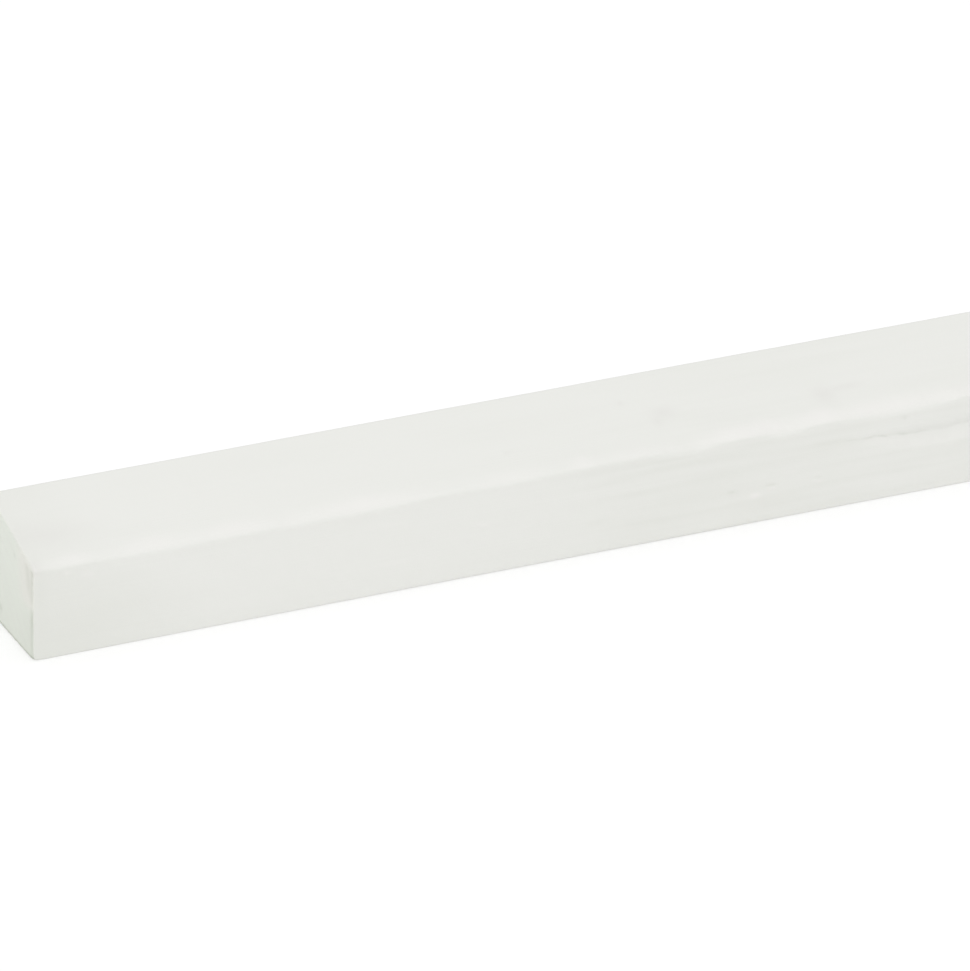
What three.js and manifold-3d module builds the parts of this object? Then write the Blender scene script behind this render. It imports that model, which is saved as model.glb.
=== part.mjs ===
// Glazing bead: a short length of white primed softwood bead, cut square at both ends.
// In use it is nailed into a window's rebate, and its tall back face holds the pane.
// Millimetres, +Z up. +X runs along the grain, +Y points back to the glass.
// The bead lies on the face that meets the rebate, and the origin is the middle of that face.

import * as THREE from 'three';
import { mergeVertices } from 'three/addons/utils/BufferGeometryUtils.js';
import Module from 'manifold-3d';

// The section, as it is sold: 15 deep by 17 high, with a weathered top that falls to the front
const LENGTH = 150;
const DEPTH = 15;
const GLASS_FACE_HEIGHT = 17;
const FRONT_FACE_HEIGHT = 13;

// How far each eased edge is set back along the two faces that meet there. The front arris
// turns sharply out of the front face and crowns gently into the weathered top.
const ARRIS_SETBACK_ON_TOP = 3.0;
const ARRIS_SETBACK_ON_FRONT = 0.9;
const BACK_EDGE_SETBACK = 0.25;
const REBATE_EDGE_SETBACK = 0.2;

// The arris is eased by hand and worn wider in some stretches than in others. It has this share
// of its setbacks everywhere, and each stretch adds to that or takes off it:
// [middle of the stretch from the near end, half length, change of the share]
const LEAST_WORN = 0.57;
const WORN_STRETCHES = [
  [20, 11, 0.5], [40, 13, 0.5], [44.5, 4, 0.25], [66, 4.5, 0.35], [92.2, 4.4, 0.85],
  [105, 3.4, 1], [122, 8, 0.9], [131, 1.8, -0.5], [144, 8, 0.5],
];
const STATION_SPACING = 2.5;

// A shake, a split along the grain that the primer has half filled, opens towards the far end.
// Its line falls and then rises again: [from, to, both from the near end, and the change of height]
const SHAKE_START = 114;
const SHAKE_HEIGHT = 9.5;
const SHAKE_BENDS = [[114, 129, -1], [129, 131.5, 0.4]];
const SHAKE_DEPTH = 0.38;
const SHAKE_UPPER_LIP = 1.5;
const SHAKE_LOWER_LIP = 2.4;
const SHAKE_STATIONS = 14;

const FACETS_PER_BROKEN_EDGE = 4;
const FACETS_ON_ARRIS = 9;

const manifoldLibrary = await Module();
manifoldLibrary.setup();

// The section's corners, as (distance back, height), going round from the foot of the front face
const frontFoot = new THREE.Vector2(-DEPTH / 2, 0);
const glassFoot = new THREE.Vector2(DEPTH / 2, 0);
const glassTop = new THREE.Vector2(DEPTH / 2, GLASS_FACE_HEIGHT);
const frontTop = new THREE.Vector2(-DEPTH / 2, FRONT_FACE_HEIGHT);

// Points round one eased corner, from the face before it to the face after it
function easedCorner(before, corner, after, setbackBefore, setbackAfter, facets) {
  const start = corner.clone().add(before.clone().sub(corner).setLength(setbackBefore));
  const finish = corner.clone().add(after.clone().sub(corner).setLength(setbackAfter));
  return new THREE.QuadraticBezierCurve(start, corner, finish).getPoints(facets);
}

function brokenCorner(before, corner, after, setback) {
  return easedCorner(before, corner, after, setback, setback, FACETS_PER_BROKEN_EDGE);
}

function beadSection() {
  return new THREE.Shape([
    ...brokenCorner(frontTop, frontFoot, glassFoot, REBATE_EDGE_SETBACK),
    ...brokenCorner(frontFoot, glassFoot, glassTop, REBATE_EDGE_SETBACK),
    ...brokenCorner(glassFoot, glassTop, frontTop, BACK_EDGE_SETBACK),
    ...easedCorner(
      glassTop, frontTop, frontFoot, ARRIS_SETBACK_ON_TOP, ARRIS_SETBACK_ON_FRONT, FACETS_ON_ARRIS),
  ]);
}

// A section drawn as (back, up) becomes a bar along X between two stations
function barAlongGrain(section, from, to, steps) {
  const bar = new THREE.ExtrudeGeometry(section, { depth: to - from, steps, bevelEnabled: false });
  const backUpAlong = new THREE.Matrix4().makeBasis(
    new THREE.Vector3(0, 1, 0), new THREE.Vector3(0, 0, 1), new THREE.Vector3(1, 0, 0));
  bar.applyMatrix4(backUpAlong);
  bar.translate(from, 0, 0);
  return bar;
}

function reshape(geometry, move) {
  const places = geometry.getAttribute('position');
  const place = new THREE.Vector3();
  for (let i = 0; i < places.count; i += 1) {
    move(place.fromBufferAttribute(places, i));
    places.setXYZ(i, place.x, place.y, place.z);
  }
}

function wornShare(fromNearEnd) {
  const bell = (middle, halfLength) => Math.exp(-(((fromNearEnd - middle) / halfLength) ** 2));
  return WORN_STRETCHES.reduce(
    (share, [middle, halfLength, change]) => share + change * bell(middle, halfLength), LEAST_WORN);
}

// The rounding grows and shrinks about the line where front and top would meet, so both stay flat
function wearArris(place) {
  const allowance = 0.01;
  const fromLine = new THREE.Vector2(place.y, place.z).sub(frontTop);
  if (fromLine.length() > ARRIS_SETBACK_ON_TOP + allowance) return;
  fromLine.multiplyScalar(wornShare(place.x + LENGTH / 2)).add(frontTop);
  place.y = fromLine.x;
  place.z = fromLine.y;
}

function shakeHeight(fromNearEnd) {
  return SHAKE_BENDS.reduce(
    (height, [from, to, change]) => height + change * THREE.MathUtils.smoothstep(fromNearEnd, from, to),
    SHAKE_HEIGHT);
}

// A long V, steep above and shallow below, that starts just clear of the front face
// and sinks steadily to its full depth at the far end
function shakeCutter() {
  const clearOfFace = 1;
  const overshoot = 2;
  const lipSpread = (SHAKE_DEPTH + clearOfFace) / SHAKE_DEPTH;
  const section = new THREE.Shape([
    new THREE.Vector2(-clearOfFace, -SHAKE_LOWER_LIP * lipSpread),
    new THREE.Vector2(SHAKE_DEPTH, 0),
    new THREE.Vector2(-clearOfFace, SHAKE_UPPER_LIP * lipSpread),
  ]);
  const start = SHAKE_START - LENGTH / 2;
  const farEnd = LENGTH / 2;
  const cutter = barAlongGrain(section, start, farEnd + overshoot, SHAKE_STATIONS);
  reshape(cutter, (place) => {
    const opened = (place.x - start) / (farEnd - start);
    place.y += -DEPTH / 2 - SHAKE_DEPTH * (1 - Math.sqrt(opened));
    place.z += shakeHeight(place.x + LENGTH / 2);
  });
  return cutter;
}

function toSolid(geometry) {
  const bare = geometry.clone();
  bare.deleteAttribute('normal');
  bare.deleteAttribute('uv');
  const merged = mergeVertices(bare);
  return new manifoldLibrary.Manifold(new manifoldLibrary.Mesh({
    numProp: 3,
    vertProperties: new Float32Array(merged.getAttribute('position').array),
    triVerts: new Uint32Array(merged.getIndex().array),
  }));
}

function toGeometry(solid) {
  const mesh = solid.getMesh();
  const geometry = new THREE.BufferGeometry();
  geometry.setAttribute('position', new THREE.BufferAttribute(mesh.vertProperties, 3));
  geometry.setIndex(new THREE.BufferAttribute(mesh.triVerts, 1));
  geometry.computeVertexNormals();
  return geometry;
}

// White alkyd primer, brushed thin enough for the grain to show through as fine relief
const whitePrimer = new THREE.MeshStandardMaterial({ color: 0xe9eae5, roughness: 0.55, metalness: 0 });

const barStock = barAlongGrain(beadSection(), -LENGTH / 2, LENGTH / 2, LENGTH / STATION_SPACING);
reshape(barStock, wearArris);

const glazingBead = new THREE.Mesh(
  toGeometry(toSolid(barStock).subtract(toSolid(shakeCutter()))), whitePrimer);
glazingBead.name = 'glazing_bead';

const part = new THREE.Group();
part.add(glazingBead);

export default part;
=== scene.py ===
import math

import bmesh
import bpy
from mathutils import Matrix, Vector, noise


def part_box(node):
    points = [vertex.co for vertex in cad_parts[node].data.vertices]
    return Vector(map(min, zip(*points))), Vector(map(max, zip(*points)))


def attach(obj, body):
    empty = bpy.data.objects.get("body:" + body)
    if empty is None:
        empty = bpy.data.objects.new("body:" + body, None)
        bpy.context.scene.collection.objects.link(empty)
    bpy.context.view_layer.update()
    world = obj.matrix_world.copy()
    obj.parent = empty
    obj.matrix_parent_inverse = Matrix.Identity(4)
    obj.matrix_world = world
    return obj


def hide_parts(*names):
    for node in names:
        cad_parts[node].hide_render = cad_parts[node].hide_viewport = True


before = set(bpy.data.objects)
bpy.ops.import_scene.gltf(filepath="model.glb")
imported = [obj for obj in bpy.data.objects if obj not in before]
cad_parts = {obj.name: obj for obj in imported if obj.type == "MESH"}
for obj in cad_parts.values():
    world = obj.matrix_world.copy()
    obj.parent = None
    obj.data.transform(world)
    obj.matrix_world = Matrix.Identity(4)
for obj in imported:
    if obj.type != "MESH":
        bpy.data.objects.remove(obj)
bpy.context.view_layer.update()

low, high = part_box("glazing_bead")


# The camera
# A product shot through a long lens, from the left and above. It looks along the bead, so the
# near end shows and the far end runs out of the picture. The foot of the near front corner is
# held at its own place in the picture, and the rest follows from the lens and the distance.
picture_width, picture_height = 970, 971
near_foot_pixel = (33.5, 661.7)
azimuth, elevation, lean = (math.radians(angle) for angle in (-24.99, 26.83, 1.22))
lens_mm, sensor_mm = 386.7, 36.0
distance = 1.3197

towards_lens = Vector((
    math.sin(azimuth) * math.cos(elevation),
    -math.cos(azimuth) * math.cos(elevation),
    math.sin(elevation),
))
to_the_right = Vector((math.cos(azimuth), math.sin(azimuth), 0))
axes = Matrix((to_the_right, towards_lens.cross(to_the_right), towards_lens)).transposed()
axes = axes @ Matrix.Rotation(lean, 3, "Z")

pixel_size = distance * sensor_mm / lens_mm / max(picture_width, picture_height)
near_foot_in_view = Vector((
    (near_foot_pixel[0] - picture_width / 2) * pixel_size,
    (picture_height / 2 - near_foot_pixel[1]) * pixel_size,
    -distance,
))
camera_data = bpy.data.cameras.new("camera")
camera_data.lens = lens_mm
camera_data.sensor_width = sensor_mm
camera_data.clip_end = 20
camera = bpy.data.objects.new("camera", camera_data)
camera.matrix_world = Matrix.Translation(low - axes @ near_foot_in_view) @ axes.to_4x4()
bpy.context.scene.collection.objects.link(camera)
bpy.context.scene.camera = camera


# The bead
# One length of planed softwood with a weathered top, its arris eased by hand, sawn square at
# both ends and given one thin brushed coat of white primer. It is shaped here in millimetres:
# x from the near end along the grain, y from the front face back to the glass, z up.
MM = 0.001
length = (high.x - low.x) / MM
depth = (high.y - low.y) / MM
glass_face_height = 17.0
front_face_height = 13.0
weathering = (glass_face_height - front_face_height) / depth
section_centre = Vector((depth / 2, front_face_height / 2))

# The net of faces that carries the relief. Its rings stand closer together where the grain is
# raised, and further apart towards the far end.
rise_spacing, depth_spacing = 0.15, 0.2
end_rings = (0.12, 0.3, 0.55)
ring_spacing_smooth, ring_spacing_raised, ring_spacing_far = 0.8, 0.45, 1.1
raised_from, raised_to = 72.0, 138.0
closing_up, opening_out = 6.0, 3.0


def smooth_step(start, finish, value):
    t = min(1.0, max(0.0, (value - start) / (finish - start)))
    return t * t * (3 - 2 * t)


def bell(offset, half_width):
    return math.exp(-(offset / half_width) ** 2)


def wander(x, stretch, seed):
    """Noise that changes along the bead over about one stretch."""
    return noise.noise((x / stretch, seed, 0))


def ring_places():
    places = list(end_rings)
    while places[-1] < length - 2 * end_rings[-1]:
        x = places[-1]
        closer = smooth_step(raised_from - closing_up, raised_from + closing_up, x)
        wider = smooth_step(raised_to, raised_to + opening_out, x)
        spacing = ring_spacing_smooth + (ring_spacing_raised - ring_spacing_smooth) * closer
        places.append(x + spacing + (ring_spacing_far - ring_spacing_raised) * wider)
    return places + [length - ring for ring in end_rings]


def cut_edges(bm, axis, cuts):
    """Cuts every edge that runs along one axis, so its faces are parted right round the bar."""
    edges = []
    for edge in bm.edges:
        run = edge.verts[1].co - edge.verts[0].co
        if abs(run[axis]) > 0.9 * run.length:
            edges.append(edge)
    bmesh.ops.subdivide_edges(bm, edges=edges, cuts=cuts, use_grid_fill=True)


def sawn_bar():
    """The four-sided bar as it leaves the planer, netted finely for the relief."""
    bm = bmesh.new()
    bmesh.ops.create_cube(bm, size=1.0, matrix=Matrix.Translation((0.5, 0.5, 0.5)))
    bmesh.ops.scale(bm, vec=(length, depth, front_face_height), verts=bm.verts)
    for corner in bm.verts:
        if corner.co.y > 0 and corner.co.z > 0:
            corner.co.z = glass_face_height
    for place in ring_places():
        everything = bm.verts[:] + bm.edges[:] + bm.faces[:]
        bmesh.ops.bisect_plane(bm, geom=everything, plane_co=(place, 0, 0), plane_no=(1, 0, 0))
    cut_edges(bm, 1, round(depth / depth_spacing))
    cut_edges(bm, 2, round(front_face_height / rise_spacing))
    return bm


# The hand-eased front arris turns sharply at the front and crowns gently into the top, and it is
# worn wider in some stretches than in others. The planer's other edges are only broken. Each
# pair is the two faces' setbacks, and each stretch is its middle, its half length and what it
# adds to, or takes off, the share of the setbacks that the arris has everywhere.
arris_setback = (3.0, 0.9)
back_edge_setback = (0.25, 0.25)
rebate_edge_setback = (0.2, 0.2)
saw_edge_setback = 0.3
least_worn = 0.57
worn_stretches = (
    (20, 11, 0.5), (40, 13, 0.5), (44.5, 4, 0.25), (66, 4.5, 0.35), (92.2, 4.4, 0.85),
    (105, 3.4, 1.0), (122, 8, 0.9), (131, 1.8, -0.5), (144, 8, 0.5),
)
near_corner_stretches = ((0, 1.2, -0.22), (3.2, 1.9, 0.18))

# What varies these shares along the bead: the long and short waver of a sanding block, the faint
# chatter of the planer, and the wear of the front face's foot, which comes and then partly goes.
long_waver, short_waver, chatter = 0.2, 0.15, 0.1
foot_wear, foot_wear_comes, foot_wear_goes = 1.8, (0, 60), (85, 135)


def hand_worked(x):
    """The solid's worn stretches and the near corner's, with a sanding block's waver on top."""
    worn = least_worn + long_waver * wander(x, 4.2, 7.7) + short_waver * wander(x, 1.3, 2.7)
    for middle, half_length, more in worn_stretches + near_corner_stretches:
        worn += more * bell(x - middle, half_length)
    return worn


def machined(x):
    return 1 + chatter * wander(x, 6, 4.5)


def rubbed_foot(x):
    """The foot of the front face has been rubbed rounder along the middle."""
    worn = machined(x) + foot_wear * smooth_step(*foot_wear_comes, x)
    return worn - smooth_step(*foot_wear_goes, x)


foot, glass_foot = Vector((0, 0)), Vector((depth, 0))
glass_top, front_top = Vector((depth, glass_face_height)), Vector((0, front_face_height))
long_edges = [
    (glass_top, front_top, foot, arris_setback, hand_worked),
    (glass_foot, glass_top, front_top, back_edge_setback, machined),
    (foot, glass_foot, glass_top, rebate_edge_setback, machined),
    (front_top, foot, glass_foot, rebate_edge_setback, rubbed_foot),
]


def eased(a, b):
    """Rounds the edge where two faces meet. a and b say how far in a point lies along each face,
    as a share of that face's setback."""
    inner = min(a, b)
    reach = 1 - inner
    turn = 0.5 * (1 - abs(a - b) / reach)
    along, across = inner + reach * (1 - turn) ** 2, inner + reach * turn ** 2
    return (along, across) if a >= b else (across, along)


def ease_long_edges(bm):
    for before, corner, after, setbacks, waver in long_edges:
        arms = Matrix((
            (before - corner).normalized() * setbacks[0],
            (after - corner).normalized() * setbacks[1],
        )).transposed()
        into_arms = arms.inverted()
        for vert in bm.verts:
            share = waver(vert.co.x)
            a, b = into_arms @ (vert.co.yz - corner) / share
            if max(a, b) < 1:
                section = corner + arms @ Vector(eased(a, b)) * share
                vert.co.y, vert.co.z = section


# The sawn edge is ragged, and a knock has rounded it a little more where it meets the arris
saw_edge_raggedness = 0.5
knocked_arris_setback, knock_reach = 0.2, 1.5


def ease_saw_edges(bm, depth_inside):
    """Breaks the ragged edge round each sawn end."""
    for vert in bm.verts:
        at_near_end = vert.co.x < length / 2
        from_end = min(vert.co.x, length - vert.co.x)
        ragged = saw_edge_raggedness * noise.noise((vert.co.x / 9, vert.co.y, vert.co.z))
        setback = saw_edge_setback * (1 + ragged)
        if at_near_end:
            setback += knocked_arris_setback * bell((vert.co.yz - front_top).length, knock_reach)
        inside = depth_inside[vert.index]
        if max(from_end, inside) >= setback:
            continue
        new_from_end, new_inside = eased(from_end / setback, inside / setback)
        inwards = (section_centre - vert.co.yz).normalized() * (setback * new_inside - inside)
        vert.co.x += (setback * new_from_end - from_end) * (1 if at_near_end else -1)
        vert.co.y += inwards.x
        vert.co.z += inwards.y


def inside_outline(vert):
    _, y, z = vert.co
    below_top = (front_face_height + weathering * y - z) / math.hypot(1, weathering)
    return max(0.0, min(y, depth - y, z, below_top))


# Marks in the timber and in the coat, each as its place along, back and up, its half length and
# half width, how deep it is, and how strongly it shows: knots, a bare patch and a smudged corner
# as a stain, dings as painted shade in their dents, lean streaks as thin primer, and drips as
# thick primer. A mark fades out at the mark reach, in half lengths.
mark_reach = 3
knots = [
    (91.0, 7.0, 14.9, 1.6, 1.1, 0.03, 0.6), (89.5, 5.5, 14.5, 0.6, 0.9, 0.01, 0.4),
    (113.2, 4.9, 14.3, 1.5, 1.7, 0.03, 0.6), (116.9, 5.6, 14.5, 2.2, 0.6, 0.02, 0.5),
    (86.3, 10.0, 15.7, 0.4, 0.5, 0.02, 0.5), (68.0, 5.0, 14.3, 0.5, 0.35, 0.03, 0.5),
    (3.6, 5.5, 14.5, 6.0, 2.3, 0.0, 0.42), (0.2, 0.5, 13.0, 0.9, 1.0, 0.02, 0.95),
]
dings = [
    (97.8, 0, 5.15, 0.65, 0.21, 0.09, 0.32), (103.5, 0, 5.15, 0.65, 0.2, 0.1, 0.38),
    (110.3, 0, 5.0, 0.5, 0.2, 0.08, 0.22), (122.7, 0, 11.3, 0.35, 0.35, 0.1, 0.35),
]
lean_streaks = [
    (88.5, 0, 11.6, 4.5, 0.3, 0.0, 0.45), (102.5, 0, 11.6, 4.0, 0.25, 0.0, 0.35),
    (79.5, 0, 9.8, 4.0, 0.4, 0.0, 0.25), (85.0, 0, 7.5, 3.5, 0.4, 0.0, 0.25),
    (87.0, 0, 3.3, 4.5, 0.35, 0.0, 0.4), (78.5, 0, 4.6, 1.8, 0.6, 0.0, 0.3),
    (112.0, 0, 9.7, 3.5, 0.45, 0.02, 0.55), (104.0, 0, 2.6, 6.0, 0.9, 0.0, 0.3),
    (96.0, 0, 7.9, 6.0, 0.7, 0.0, 0.2), (130.0, 0, 11.4, 3.0, 0.4, 0.0, 0.2),
    (78.5, 0, 11.6, 5.0, 0.5, 0.0, 0.25),
]
drips = [
    (62.3, 0, 7.4, 1.1, 0.4, -0.06, 0.5), (101.2, 0, 4.05, 0.6, 0.36, -0.08, 1.3),
    (103.7, 0, 4.65, 0.6, 0.22, -0.03, 0.5), (110.4, 0, 4.5, 0.6, 0.22, -0.03, 0.5),
    (7.4, 0, 10.9, 0.6, 0.5, -0.08, 0.5), (4.6, 0, 11.7, 0.4, 0.3, -0.05, 0.5),
    (49.5, 0, 4.2, 3.5, 0.35, -0.02, 0.35), (49.5, 0, 9.8, 1.4, 0.3, -0.02, 0.3),
]
bruised_corner = (0.0, 0.0, 0.0, 0.6, 0.6, 0.2)


def spread(place, mark):
    """How much of a soft oval mark of the given half length and half width reaches here."""
    x, y, z, half_length, half_width = mark[:5]
    away = math.hypot(
        (place.x - x) / half_length, (place.y - y) / half_width, (place.z - z) / half_width)
    return math.exp(-away * away)


def marked(place, marks):
    """The depth and the strength that a list of marks adds up to here."""
    sunk = strength = 0.0
    for mark in marks:
        x, half_length, depth_here, strength_here = mark[0], mark[3], mark[5], mark[6]
        if abs(place.x - x) < mark_reach * half_length:
            reached = spread(place, mark)
            sunk += reached * depth_here
            strength += reached * strength_here
    return sunk, strength


def grain(place, along, across, seed):
    """Noise drawn out along the grain, over about these distances along and across it."""
    at = (place.x / along + seed, place.y / across - seed, place.z / across + 2 * seed)
    return noise.noise(at)


# The timber's growth rings, which the primer only half hides: where the pith lies, how far it
# wanders, the ripple of the rings as its length along and across the grain and a seed, and the
# shares of a ring between which the hard late wood stands proud
pith_back, pith_up = 26.0, -19.0
pith_wander_back, pith_wander_up = 2.2, 1.6
growth_ring_width, ring_unevenness, ring_ripple = 1.9, 0.3, (38, 7, 3.3)
late_wood_from, late_wood_full, late_wood_to = 0.45, 0.86, 0.9


def growth_ring(place):
    """0 in the soft early wood, rising to 1 on the hard late wood that stands proud of it."""
    back = place.y - pith_back - pith_wander_back * wander(place.x, 90, 1.3)
    up = place.z - pith_up - pith_wander_up * wander(place.x, 60, 4.9)
    rings = math.hypot(back, up) / growth_ring_width + ring_unevenness * grain(place, *ring_ripple)
    phase = rings - math.floor(rings)
    late_wood = smooth_step(late_wood_from, late_wood_full, phase)
    return late_wood - smooth_step(late_wood_to, 1.0, phase)


# How the grain has lifted: hardly before raised_from, and fully within the lift length past it
least_lift, lift_length, lift_unevenness, lift_lost_on_top = 0.08, 16, 0.3, 0.65


def raised_grain(place):
    """How far the grain has lifted here: hardly near the near end, plainly past the middle."""
    lift = smooth_step(raised_from, raised_from + lift_length, place.x)
    uneven = lift_unevenness * lift * noise.noise((place.x / 30, 5.5, place.z / 6))
    return least_lift + (1 - least_lift) * lift + uneven


# The shake. Its line wavers and falls, then turns and rises. Its lips widen as it opens, and their
# hollows are steep above and flatter below.
shake_start, shake_full, shake_turn = 114.0, 125.0, 129.0
shake_height, shake_fall, shake_rise, shake_rise_length = 9.5, 1.0, 0.4, 2.5
shake_long_waver, shake_short_waver = 0.15, 0.16
shake_upper_lip, shake_lower_lip, shake_depth = 1.5, 2.4, 0.38
narrowest_lip, upper_lip_hollow, lower_lip_hollow = 0.4, 1.6, 0.87

# The ragged crack between the lips, which gapes in one place, and the painted highlight on the
# lower lip, where it faces up into the light
crack_depth, crack_half_width = 0.05, 0.16
crack_parts, crack_closes = (113.5, 115.0), (123.5, 127.0)
crack_open, crack_raggedness = 0.32, 0.5
crack_gape, gape_middle, gape_half_length = 0.2, 123, 1.6
lip_highlight_starts, lip_highlight_below, lip_highlight_half_width = (116, 121), 0.6, 0.7


def shake_and_crack(place):
    """How far the lips of the shake have sunk here, how open the ragged crack between them is,
    and how much painted highlight lies on the lower lip, where it faces up into the light."""
    x = place.x
    waver = shake_long_waver * wander(x, 3.2, 9.1) + shake_short_waver * wander(x, 0.9, 2.2)
    fallen = shake_fall * smooth_step(shake_start, shake_turn, x)
    risen = shake_rise * smooth_step(shake_turn, shake_turn + shake_rise_length, x)
    above = place.z - (shake_height - fallen + risen + waver)
    opened = smooth_step(shake_start, shake_full, x)
    lip_width = shake_upper_lip if above > 0 else shake_lower_lip
    lip_width *= narrowest_lip + (1 - narrowest_lip) * opened
    within = max(0.0, 1 - abs(above) / lip_width)
    hollow = within ** upper_lip_hollow if above > 0 else smooth_step(0, lower_lip_hollow, within)
    parted = smooth_step(*crack_parts, x) - smooth_step(*crack_closes, x)
    gape = crack_gape * bell(x - gape_middle, gape_half_length)
    parted *= crack_open + crack_raggedness * wander(x, 1.3, 6.6) + gape
    below = above + lip_highlight_below * shake_lower_lip * opened
    # Painted highlight: the lower lip is lightened where it faces up into the light
    lip_highlight = smooth_step(*lip_highlight_starts, x) * bell(below, lip_highlight_half_width)
    return opened * hollow, max(0.0, parted) * bell(above, crack_half_width), lip_highlight


# How much darker the coat is: out from the near end, beside the saw cut, and past the middle
# up to the shake, less so higher up and on the top
higher_up, under_arris = (2, 12), (6, 13)
near_thin, near_reach, near_reach_lost_higher = 0.95, 30, 16
near_lost_higher, near_lost_on_top = 0.3, 0.4
cut_thin, beside_cut = 0.25, (0.5, 2.5)
far_thin, far_thins, far_lost_higher, far_lost_on_top = 0.34, (66, 90), 0.1, 0.7
far_lost_at_shake, nearing_shake = 0.65, (112, 119)


def coat_darkening(place, top_on):
    """How much darker the coat is than on the middle of the bead."""
    higher = smooth_step(*higher_up, place.z)
    reach = near_reach - near_reach_lost_higher * smooth_step(*under_arris, place.z)
    near = (1 - smooth_step(0, reach, place.x)) * (1 - near_lost_higher * higher)
    near += cut_thin * (1 - smooth_step(*beside_cut, place.x))
    far = smooth_step(*far_thins, place.x) * (far_thin - far_lost_higher * higher)
    far *= 1 - far_lost_at_shake * smooth_step(*nearing_shake, place.x)
    return near_thin * near * (1 - near_lost_on_top * top_on) + far * (1 - far_lost_on_top * top_on)


# Where a highlight is painted on the arris: the middle of each stretch, its half length and its
# strength. The band is wider where the highlight is stronger, and it lies where the surface has
# turned up, in degrees.
sheen_stretches = (
    (5.1, 3.4, 0.6), (16.5, 3.5, 0.7), (27.5, 5, 0.65), (45, 8.2, 0.75), (66.5, 4, 0.37),
    (76.5, 1.5, 0.65), (86, 7, 0.42), (98.5, 4.2, 0.82), (103.7, 2.5, 0.75), (110.5, 3, 0.7),
    (120, 9, 0.72), (137, 9, 0.72),
)
least_sheen, sheen_unevenness = 0.04, 0.15
sheen_width, sheen_widening, sheen_fade_behind, sheen_fade_before = 0.8, 1.4, 1.1, 0.9
sheen_turn = (25, 60)


def painted_sheen_and_drips(place, normal):
    """The painted highlight on the crown of the arris, where its surface turns up into the light.
    """
    turned_up = math.degrees(math.atan2(normal.z, -normal.y))
    sheen = least_sheen + sheen_unevenness * wander(place.x, 2.5, 3.9)
    for middle, half_length, more in sheen_stretches:
        sheen += more * bell(place.x - middle, half_length)
    width = sheen_width + sheen_widening * sheen
    in_band = smooth_step(width + sheen_fade_behind, width - sheen_fade_before, place.y)
    return sheen * smooth_step(*sheen_turn, turned_up) * in_band


# On the near end: where the brush lapped primer on to the sawn face, where it is darker towards
# its foot, and where dirt has soaked in beside its upright edge below the lap and in two specks
lap_foot, lap_top, lap_width_at_foot, lap_width_at_top = 7.0, 13.8, 4.3, 5.0
lap_fade_across, lap_fade_down = 1.7, 1
darker_towards_foot, speck_soaked, edge_soaked = 0.13, 0.5, 0.08
edge_soaked_back, edge_soaked_half_width, below_lap = 1.2, 2.4, (7.5, 5.5)
end_specks = [(0.0, 6.4, 12.1, 1.0, 0.35, 0.0, 0.5), (0.0, 10.9, 2.5, 1.0, 0.45, 0.0, 0.8)]


def lapped_over(place):
    """The primer that the brush lapped on to the near end, fading away from the front edge."""
    up = smooth_step(lap_foot, lap_top, place.z)
    width = lap_width_at_foot + (lap_width_at_top - lap_width_at_foot) * up
    across = smooth_step(width + lap_fade_across, width - lap_fade_across, place.y)
    return across * smooth_step(lap_foot - lap_fade_down, lap_foot + lap_fade_down, place.z)


def darkened_end(place):
    """How much darker the near end is here: towards its foot, and where dirt has soaked in."""
    darkened = darker_towards_foot * (1 - smooth_step(0, front_face_height, place.z))
    darkened += speck_soaked * marked(place, end_specks)[1]
    beside_edge = bell(place.y - edge_soaked_back, edge_soaked_half_width)
    return darkened + edge_soaked * beside_edge * smooth_step(*below_lap, place.z)


# The line of torn fibres beside the near end's upright edge, darker near its top and low down,
# and broken half way up. A smear beside it leans back as it rises.
torn_back, torn_half_width, torn_depth, torn_raggedness = 0.65, 0.42, 0.08, 0.5
torn_least, torn_more, torn_top, torn_darker_top = 0.55, 0.45, (12.7, 12.2), (10.2, 11)
torn_darker_low_from, torn_darker_low_to = (3.2, 4.2), (7.2, 6.6)
torn_break, torn_break_half_height = 7.5, 0.4
smear_strength, smear_back, smear_half_width, smear_lean, smear_foot = 0.6, 1.2, 0.8, 0.25, 8
smear_comes, smear_goes = (7.6, 10), (13, 12.2)


def torn_fibres(place):
    """The dark line and its smear, where the primer has not bridged the torn fibres."""
    z = place.z
    near_top = torn_more * smooth_step(*torn_darker_top, z)
    low_down = torn_more * smooth_step(*torn_darker_low_from, z)
    strength = smooth_step(*torn_top, z) * (torn_least + near_top)
    strength += low_down * smooth_step(*torn_darker_low_to, z)
    strength *= 1 - bell(z - torn_break, torn_break_half_height)
    line = bell(place.y - torn_back, torn_half_width) * strength
    ragged = torn_raggedness * noise.noise((3.1, 0, z / 1.2))
    smear = bell(place.y - (smear_back + smear_lean * (z - smear_foot)), smear_half_width)
    smear *= smooth_step(*smear_comes, z) * smooth_step(*smear_goes, z)
    return min(1.0, line * (1 + ragged) + smear_strength * smear)


# The finest relief, on the planed faces and then on the sawn ends. Each swell or strand is given
# as its lengths along and across the grain, and a seed.
long_swell, short_swell = (34, 5, 31.0), (12, 2.4, 41.0)
fine_strand, broad_strand = (14, 0.9, 11.0), (30, 1.9, 23.0)
long_unevenness, short_unevenness = 0.05, 0.016
late_wood_rise, strand_rise, broad_strand_share = 0.008, 0.01, 0.6
saw_line_depth, saw_line_spacing, saw_line_slope, saw_line_waver = 0.003, 0.9, 0.3, 0.3
sawn_roughness, late_wood_sunk = 0.02, 0.015

# How much the late wood and the strands thin the coat and the painted highlight on the shake's
# lower lip lightens it, how much painted shade darkens the crack and the dings, and how dirty the
# torn fibres are. A painted contact shadow darkens the foot of the near corner too.
late_wood_thin, strand_thin, sawn_late_wood_thin, lip_highlight_strength = 0.15, 0.25, 0.2, 0.3
crack_and_ding_shade, torn_dirt = 0.5, 0.5
contact_shadow_height, contact_shadow_reach = (0.55, 0.2), (1.0, 0.4)


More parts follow.
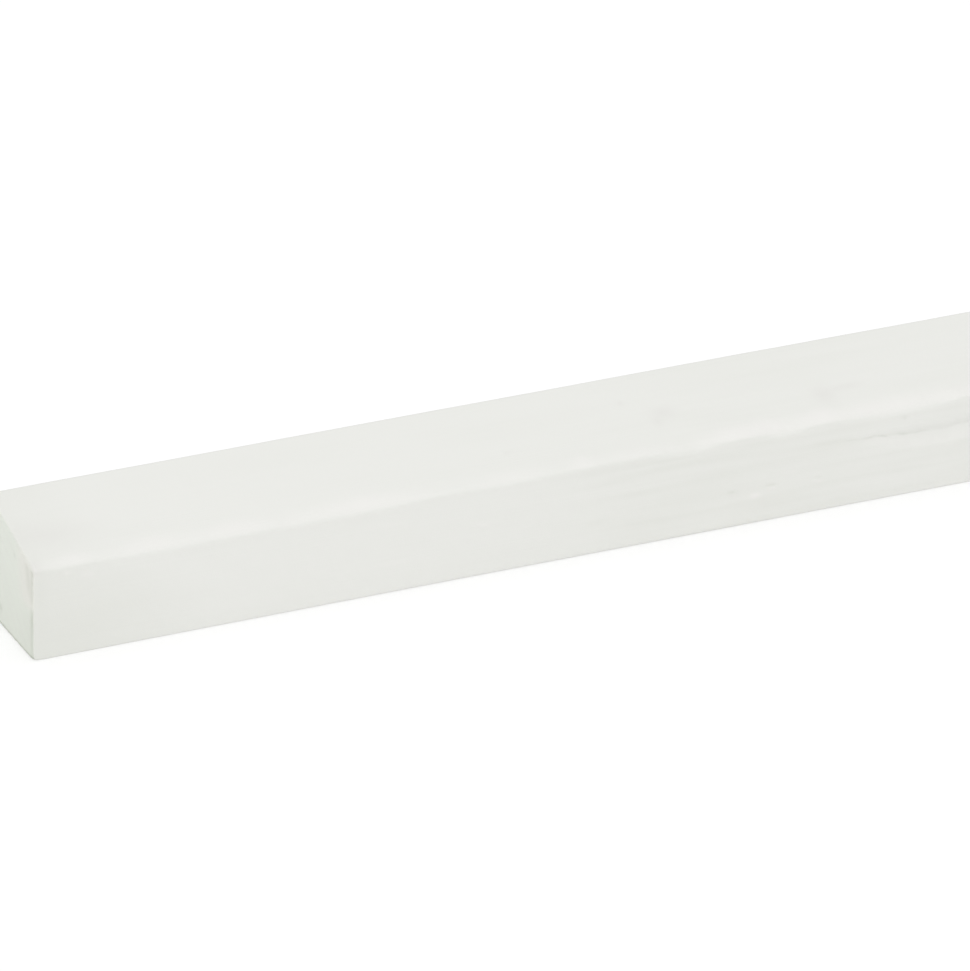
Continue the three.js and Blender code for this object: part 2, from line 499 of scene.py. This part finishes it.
def relief_and_wear(place, normal):
    """Returns how far the surface stands out here, and how sawn, lapped, thinly coated, stained,
    dirty and painted in shade it is, and how much painted sheen and drip lies on it."""
    end_on = normal.x ** 2
    side_on = 1 - end_on
    front_on = max(0.0, -normal.y) ** 2
    top_on = max(0.0, normal.z) ** 2
    at_near_end = end_on if place.x < length / 2 else 0.0
    lift = raised_grain(place) * (1 - lift_lost_on_top * top_on)
    ring = growth_ring(place)
    strands = grain(place, *fine_strand) + broad_strand_share * grain(place, *broad_strand)
    knot_sunk, stain = marked(place, knots)
    ding_sunk, ding_shade = marked(place, dings)
    streak_sunk, streak = marked(place, lean_streaks)
    drip_sunk, drip = marked(place, drips)
    sunk, crack, lip_highlight = shake_and_crack(place)
    torn = torn_fibres(place)

    uneven = long_unevenness * grain(place, *long_swell)
    uneven += short_unevenness * grain(place, *short_swell)
    height = side_on * uneven
    height += side_on * lift * (late_wood_rise * ring + strand_rise * strands)
    height -= side_on * (knot_sunk + ding_sunk + streak_sunk + drip_sunk)
    height -= spread(place, bruised_corner) * bruised_corner[5]
    height -= front_on * (shake_depth * sunk + crack_depth * crack)
    along_saw = place.z + saw_line_slope * place.y + saw_line_waver * noise.noise(place / 3)
    saw_lines = math.sin(2 * math.pi * along_saw / saw_line_spacing)
    sawn = saw_line_depth * saw_lines + sawn_roughness * noise.noise(place / 0.5)
    height += end_on * (sawn - late_wood_sunk * ring)
    height -= at_near_end * torn_depth * torn

    lapped = at_near_end * lapped_over(place)
    thin = coat_darkening(place, top_on) + lift * (late_wood_thin * ring + strand_thin * strands)
    thin = side_on * (thin + streak)
    thin += sawn_late_wood_thin * end_on * ring - lip_highlight_strength * front_on * lip_highlight
    stained = stain * (1 - end_on ** 2)
    # Painted shade in the crack and in the dings, then the near end's darkening and dirt
    dirt_and_shade = crack_and_ding_shade * front_on * (crack + ding_shade)
    dirt_and_shade += at_near_end * (darkened_end(place) + torn_dirt * torn)
    # Painted contact shadow along the foot of the near corner
    dirt_and_shade += (1 - front_on) * smooth_step(*contact_shadow_height, place.z) * smooth_step(*contact_shadow_reach, place.x)
    # Painted sheen on the arris crown and on the shake's lower lip, with the lighter thick primer
    # of the drips
    sheen_and_drips = side_on * (painted_sheen_and_drips(place, normal) + drip + lip_highlight_strength * lip_highlight * front_on)
    return height, end_on, lapped, thin, stained, dirt_and_shade, sheen_and_drips


bm = sawn_bar()
bm.verts.ensure_lookup_table()
bm.verts.index_update()
depth_inside = [inside_outline(vert) for vert in bm.verts]
ease_long_edges(bm)
ease_saw_edges(bm, depth_inside)
bm.normal_update()
# The dirt layer carries painted shade as well, and the last layer a painted sheen along with the
# drips
wear_names = ("sawn_end", "lapped_primer", "thin_primer", "knot_stain", "dirt_and_shade", "painted_sheen_and_drips")
wear_layers = [bm.verts.layers.float.new(name) for name in wear_names]
moves = []
for vert in bm.verts:
    height, *wear = relief_and_wear(vert.co.copy(), vert.normal)
    for layer, amount in zip(wear_layers, wear):
        vert[layer] = min(1.0, max(0.0, amount))
    moves.append(vert.normal * height)
for vert, move in zip(bm.verts, moves):
    vert.co += move
    vert.co.z = max(0.0, vert.co.z)
bmesh.ops.transform(bm, matrix=Matrix.Translation(low) @ Matrix.Scale(MM, 4), verts=bm.verts)
for face in bm.faces:
    face.smooth = True
bead_mesh = bpy.data.meshes.new("primed_bead")
bm.to_mesh(bead_mesh)
bm.free()
bead = bpy.data.objects.new("primed_bead", bead_mesh)
bpy.context.scene.collection.objects.link(bead)


class Amount:
    """A number that changes over a surface. Sums on it add the Math nodes."""

    def __init__(self, finish, socket):
        self.finish = finish
        self.socket = socket

    def worked(self, operation, first, second):
        return self.finish.node("ShaderNodeMath", {"operation": operation}, {0: first, 1: second})

    def __add__(self, other):
        return self.worked("ADD", self, other)

    def __sub__(self, other):
        return self.worked("SUBTRACT", self, other)

    def __rsub__(self, other):
        return self.worked("SUBTRACT", other, self)

    def __mul__(self, other):
        return self.worked("MULTIPLY", self, other)

    __radd__ = __add__
    __rmul__ = __mul__


class Finish:
    """The look of a surface, or of the room, being made up one node at a time."""

    def __init__(self, holder):
        holder.use_nodes = True
        self.tree = holder.node_tree
        self.tree.nodes.clear()

    def node(self, kind, settings=None, inputs=None, output=None):
        made = self.tree.nodes.new(kind)
        for name, value in (settings or {}).items():
            setattr(made, name, value)
        for name, value in (inputs or {}).items():
            if isinstance(name, str):
                socket = next(s for s in made.inputs if s.name == name and s.enabled)
            else:
                socket = made.inputs[name]
            if isinstance(value, Amount):
                self.tree.links.new(value.socket, socket)
            else:
                socket.default_value = value
        given = [s for s in made.outputs if s.enabled and output in (None, s.name)]
        return Amount(self, given[0]) if given else None

    def attribute(self, name):
        return self.node("ShaderNodeAttribute", {"attribute_name": name}, output="Fac")

    def noise(self, place, scale, detail=2.0):
        inputs = {"Vector": place, "Scale": scale, "Detail": detail}
        return self.node("ShaderNodeTexNoise", {}, inputs, output="Fac")

    def stretched(self, place, scale):
        return self.node("ShaderNodeMapping", {}, {"Vector": place, "Scale": scale})

    def mix(self, amount, first, second):
        inputs = {"Factor": amount, "A": first, "B": second}
        return self.node("ShaderNodeMix", {"data_type": "RGBA"}, inputs)


# The coat of white primer. Its colour and its gloss follow how sawn, lapped, thinly coated, stained
# and dirty the surface is, where shade is painted into it, and where a sheen is painted on it along
# with the drips. Long brush marks, broad clouds and a fine tooth vary it. Each scale is how often
# these come in a millimetre.
primer_colour = (0.762, 0.765, 0.733, 1)
# The colour of the painted sheen, also used for the drips' thick primer
sheen_and_drip_colour = (0.790, 0.783, 0.758, 1)
sawn_colour = (0.739, 0.769, 0.702, 1)
lap_colour = (0.761, 0.760, 0.706, 1)
thin_colour = (0.714, 0.721, 0.680, 1)
knot_colour = (0.712, 0.705, 0.680, 1)
# The colour of dirt, also used for painted shade and a painted contact shadow
dirt_and_shade_colour = (0.435, 0.458, 0.385, 1)
brush_mark_scale, cloud_scale, tooth_scale = (0.035, 3.2, 3.2), (0.05, 0.22, 0.22), 5.0
brush_mark_thin, cloud_thin, dirt_and_shade_strength = 0.15, 0.5, 0.8
bump_height, tooth_share = 0.02 * MM, 0.4
coat_roughness, sheen_gloss = 0.42, 0.08
thin_roughness, sawn_end_roughness, cloud_roughness = 0.1, 0.2, 0.1

white_primer = bpy.data.materials.new("white_primer")
primer = Finish(white_primer)
place = primer.node("ShaderNodeTexCoord", output="Object")
in_millimetres = primer.node("ShaderNodeMapping", {}, {
    "Vector": place, "Location": tuple(-low / MM), "Scale": (1 / MM,) * 3})
brush_marks = primer.noise(primer.stretched(in_millimetres, brush_mark_scale), 1.0, 3.0)
cloudy = primer.noise(primer.stretched(in_millimetres, cloud_scale), 1.0)
tooth = primer.noise(in_millimetres, tooth_scale)
sawn = primer.attribute("sawn_end")
thin = primer.attribute("thin_primer")
sheen_and_drips = primer.attribute("painted_sheen_and_drips")
colour = primer.mix(sawn, primer_colour, sawn_colour)
colour = primer.mix(primer.attribute("lapped_primer"), colour, lap_colour)
unevenly_thin = thin + (brush_marks - 0.5) * brush_mark_thin + (cloudy - 0.5) * cloud_thin
colour = primer.mix(unevenly_thin, colour, thin_colour)
colour = primer.mix(primer.attribute("knot_stain"), colour, knot_colour)
# The painted sheen and the drips lighten it, then dirt and painted shade darken it
colour = primer.mix(sheen_and_drips, colour, sheen_and_drip_colour)
colour = primer.mix(primer.attribute("dirt_and_shade") * dirt_and_shade_strength, colour, dirt_and_shade_colour)
roughness = coat_roughness + thin * thin_roughness + sawn * sawn_end_roughness
roughness = roughness + (cloudy - 0.5) * cloud_roughness - sheen_and_drips * sheen_gloss
bump = primer.node("ShaderNodeBump", {}, {
    "Strength": 1.0, "Distance": bump_height, "Height": brush_marks + tooth * tooth_share})
shader = primer.node("ShaderNodeBsdfPrincipled", {}, {
    "Base Color": colour, "Roughness": roughness, "Normal": bump, "IOR": 1.5})
primer.node("ShaderNodeOutputMaterial", {}, {"Surface": shader})
bead_mesh.materials.append(white_primer)

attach(bead, "root")
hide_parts("glazing_bead")


# The studio
# A white sweep that is lit from below as well, so that no shadow shows on it, a white room that
# is a little brighter overhead, and one soft light, in front and above, that lights the arris.
sweep_half_width, gap_below_bead = 6.0, 0.02 * MM
sweep_colour, sweep_glow, sweep_roughness = 0.6, 0.385, 0.9
room_brightness, extra_overhead = 0.592, 0.46
softbox_width, softbox_height, softbox_watts = 1.6, 0.8, 17.5
softbox_distance, softbox_azimuth, softbox_elevation = 2.7, math.radians(-30), math.radians(45)

floor_mesh = bpy.data.meshes.new("floor")
bm = bmesh.new()
bmesh.ops.create_grid(bm, x_segments=1, y_segments=1, size=sweep_half_width)
bm.to_mesh(floor_mesh)
bm.free()
floor = bpy.data.objects.new("floor", floor_mesh)
floor.location.z = low.z - gap_below_bead
bpy.context.scene.collection.objects.link(floor)
white_sweep = bpy.data.materials.new("white_sweep")
sweep = Finish(white_sweep)
paper = sweep.node("ShaderNodeBsdfPrincipled", {}, {
    "Base Color": (sweep_colour,) * 3 + (1,), "Roughness": sweep_roughness,
    "Emission Color": (1, 1, 1, 1), "Emission Strength": sweep_glow})
sweep.node("ShaderNodeOutputMaterial", {}, {"Surface": paper})
floor_mesh.materials.append(white_sweep)

world = bpy.data.worlds.new("white_room")
room = Finish(world)
direction = room.node("ShaderNodeTexCoord", output="Generated")
upwards = room.node("ShaderNodeSeparateXYZ", {}, {"Vector": direction}, output="Z")
overhead = room.node("ShaderNodeMath", {"operation": "MAXIMUM"}, {0: upwards, 1: 0.0})
sky = room.node("ShaderNodeBackground", {}, {
    "Color": (1, 1, 1, 1), "Strength": overhead * extra_overhead + room_brightness})
room.node("ShaderNodeOutputWorld", {}, {"Surface": sky})
bpy.context.scene.world = world

softbox_data = bpy.data.lights.new("softbox", "AREA")
softbox_data.shape = "RECTANGLE"
softbox_data.size = softbox_width
softbox_data.size_y = softbox_height
softbox_data.energy = softbox_watts
softbox = bpy.data.objects.new("softbox", softbox_data)
softbox_from = Vector((
    math.sin(softbox_azimuth) * math.cos(softbox_elevation),
    -math.cos(softbox_azimuth) * math.cos(softbox_elevation),
    math.sin(softbox_elevation),
))
softbox.location = softbox_from * softbox_distance
softbox.rotation_mode = "QUATERNION"
softbox.rotation_quaternion = softbox_from.to_track_quat("Z", "Y")
bpy.context.scene.collection.objects.link(softbox)

bpy.context.scene.view_settings.view_transform = "Standard"
